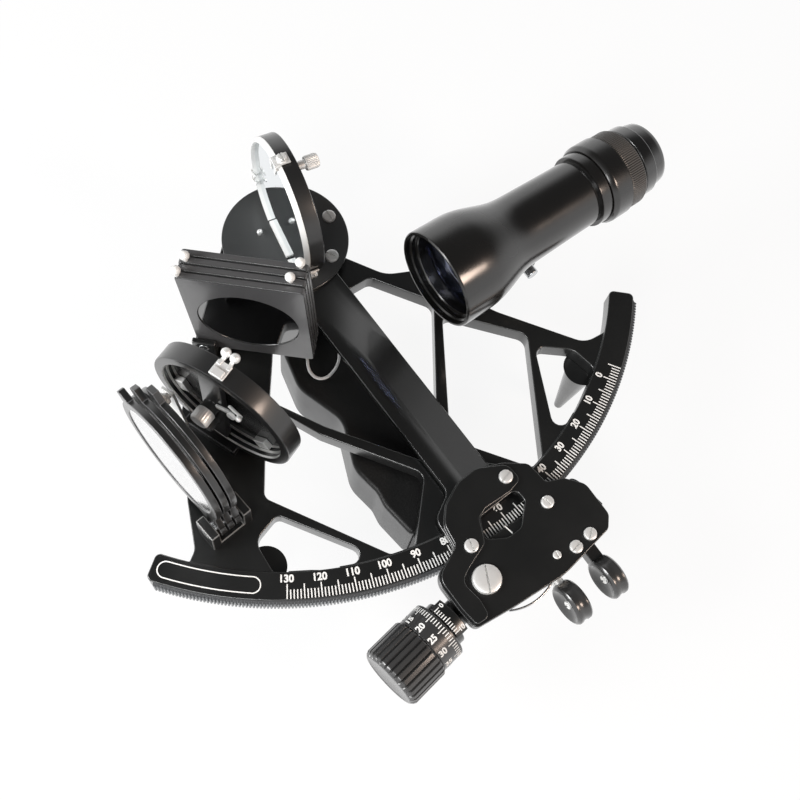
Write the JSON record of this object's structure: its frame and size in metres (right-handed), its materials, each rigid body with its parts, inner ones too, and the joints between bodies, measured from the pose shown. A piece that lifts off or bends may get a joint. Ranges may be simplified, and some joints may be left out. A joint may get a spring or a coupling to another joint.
{
  "type": "marine sextant",
  "caption": "Marine sextant with a toothed arc, swinging index arm, micrometer drum, two mirrors, swing-out shades, telescope and lamp handle.",
  "frame": {"origin": "on the pivot axis of the index arm, level with the tips of the three legs", "axes": "+Z along the pivot axis out of the scale face, +X towards the eyepiece, -Y along the rest position of the index arm"},
  "size_m": [0.2803, 0.2428, 0.1269],
  "materials": {
    "black_paint": "satin black enamel",
    "shade_metal": "satin black enamel",
    "dark_glass": "dark glass",
    "mirror": "silvered",
    "lens": "coated glass",
    "bright_steel": "bright",
    "rack_metal": "machined",
    "brass": "machined",
    "handle_plastic": "matte with a pebbled side",
    "rubber": "smooth",
    "lead": "smooth"
  },
  "bodies": {
    "frame": {"frame": "black_paint", "rack": "rack_metal", "pivot_bush": "brass", "bearing_cap": "black_paint", "upper_leg": "black_paint", "lower_legs": "black_paint", "handle_shell": "handle_plastic", "handle_cap": "handle_plastic", "handle_posts": "bright_steel", "battery_cells": "bright_steel", "lead": "lead", "telescope_bracket": "black_paint", "telescope_tube": "black_paint", "objective_ring": "black_paint", "objective_lens": "lens", "horizon_mirror_base": "black_paint", "horizon_mirror_ring": "black_paint", "horizon_mirror_glass": "mirror", "horizon_mirror_clips": "bright_steel", "horizon_mirror_adjuster": "bright_steel", "horizon_shade_bracket": "black_paint", "index_shade_bracket": "black_paint", "shade_pins": "bright_steel"},
    "lamp_button": {"lamp_button": "rubber"},
    "focus_ring": {"focus_ring": "black_paint"},
    "eyepiece": {"eyepiece_tube": "bright_steel", "eyepiece_lens": "lens", "eyecup": "rubber"},
    "telescope_clamp": {"telescope_clamp": "bright_steel"},
    "index_arm": {"arbor": "bright_steel", "mirror_disc": "black_paint", "index_mirror_ring": "black_paint", "index_mirror_glass": "mirror", "index_mirror_clips": "bright_steel", "index_mirror_adjuster": "bright_steel", "index_arm": "black_paint", "cover_plate": "black_paint", "raised_plate": "black_paint", "arm_screws": "bright_steel", "fixed_finger_pad": "rubber", "release_spring": "bright_steel"},
    "worm_carrier": {"worm_carrier": "black_paint", "vernier_plate": "black_paint", "moving_finger_pad": "rubber"},
    "micrometer": {"worm_shaft": "brass", "drum_and_knob": "black_paint"},
    "horizon_shade_1": {"horizon_shade_1": "shade_metal", "horizon_glass_1": "dark_glass"},
    "horizon_shade_2": {"horizon_shade_2": "shade_metal", "horizon_glass_2": "dark_glass"},
    "horizon_shade_3": {"horizon_shade_3": "shade_metal", "horizon_glass_3": "dark_glass"},
    "index_shade_1": {"index_shade_1": "shade_metal", "index_glass_1": "dark_glass"},
    "index_shade_2": {"index_shade_2": "shade_metal", "index_glass_2": "dark_glass"},
    "index_shade_3": {"index_shade_3": "shade_metal", "index_glass_3": "dark_glass"},
    "index_shade_4": {"index_shade_4": "shade_metal", "index_glass_4": "dark_glass"}
  },
  "joints": [
    {"name": "arm_swing", "type": "hinge", "parent": "frame", "child": "index_arm", "pos_m": [0, 0, 0.055], "axis": [0, 0, 1], "range_deg": [-33.6, 33.8]},
    {"name": "worm_release", "type": "hinge", "parent": "index_arm", "child": "worm_carrier", "pos_m": [-0.01704, -0.17572, 0.0555], "axis": [0, 0, -1], "range_deg": [0, 4], "stiffness_Nm_per_rad": 1.5, "springref_deg": -5.16},
    {"name": "drum_turn", "type": "hinge", "parent": "worm_carrier", "child": "micrometer", "pos_m": [0.0282, -0.16856, 0.0505], "axis": [0.9863, 0.165, 0], "continuous": true},
    {"name": "lamp_press", "type": "slide", "parent": "frame", "child": "lamp_button", "axis": [-1, 0, 0], "range_m": [0, 0.0012], "stiffness_N_per_m": 600, "springref_m": -0.0008},
    {"name": "focus_turn", "type": "hinge", "parent": "frame", "child": "focus_ring", "pos_m": [0.039, -0.064, 0.09], "axis": [0.9997, 0.0227, 0], "range_deg": [0, 300]},
    {"name": "eyepiece_slide", "type": "slide", "parent": "frame", "child": "eyepiece", "axis": [0.9997, 0.0227, 0], "range_m": [0, 0.005]},
    {"name": "clamp_turn", "type": "hinge", "parent": "frame", "child": "telescope_clamp", "pos_m": [0.082, -0.08, 0.0677], "axis": [0, 1, 0], "range_deg": [0, 180]},
    {"name": "horizon_shade_1_swing", "type": "hinge", "parent": "frame", "child": "horizon_shade_1", "pos_m": [-0.09495, -0.09801, 0.0675], "axis": [0.9925, 0.1219, 0], "range_deg": [0, 100]},
    {"name": "horizon_shade_2_swing", "type": "hinge", "parent": "frame", "child": "horizon_shade_2", "pos_m": [-0.09495, -0.09801, 0.0675], "axis": [0.9925, 0.1219, 0], "range_deg": [0, 100]},
    {"name": "horizon_shade_3_swing", "type": "hinge", "parent": "frame", "child": "horizon_shade_3", "pos_m": [-0.09495, -0.09801, 0.0675], "axis": [0.9925, 0.1219, 0], "range_deg": [0, 100]},
    {"name": "index_shade_1_swing", "type": "hinge", "parent": "frame", "child": "index_shade_1", "pos_m": [-0.0518, -0.02006, 0.0636], "axis": [-0.682, -0.7314, 0], "range_deg": [0, 85]},
    {"name": "index_shade_2_swing", "type": "hinge", "parent": "frame", "child": "index_shade_2", "pos_m": [-0.0518, -0.02006, 0.0636], "axis": [-0.682, -0.7314, 0], "range_deg": [0, 85]},
    {"name": "index_shade_3_swing", "type": "hinge", "parent": "frame", "child": "index_shade_3", "pos_m": [-0.0518, -0.02006, 0.0636], "axis": [-0.682, -0.7314, 0], "range_deg": [0, 85]},
    {"name": "index_shade_4_swing", "type": "hinge", "parent": "frame", "child": "index_shade_4", "pos_m": [-0.0518, -0.02006, 0.0636], "axis": [-0.682, -0.7314, 0], "range_deg": [0, 85]}
  ],
  "couplings": [
    {"joint": "eyepiece_slide", "follows": "focus_turn", "m_per_rad": 0.00095493}
  ]
}
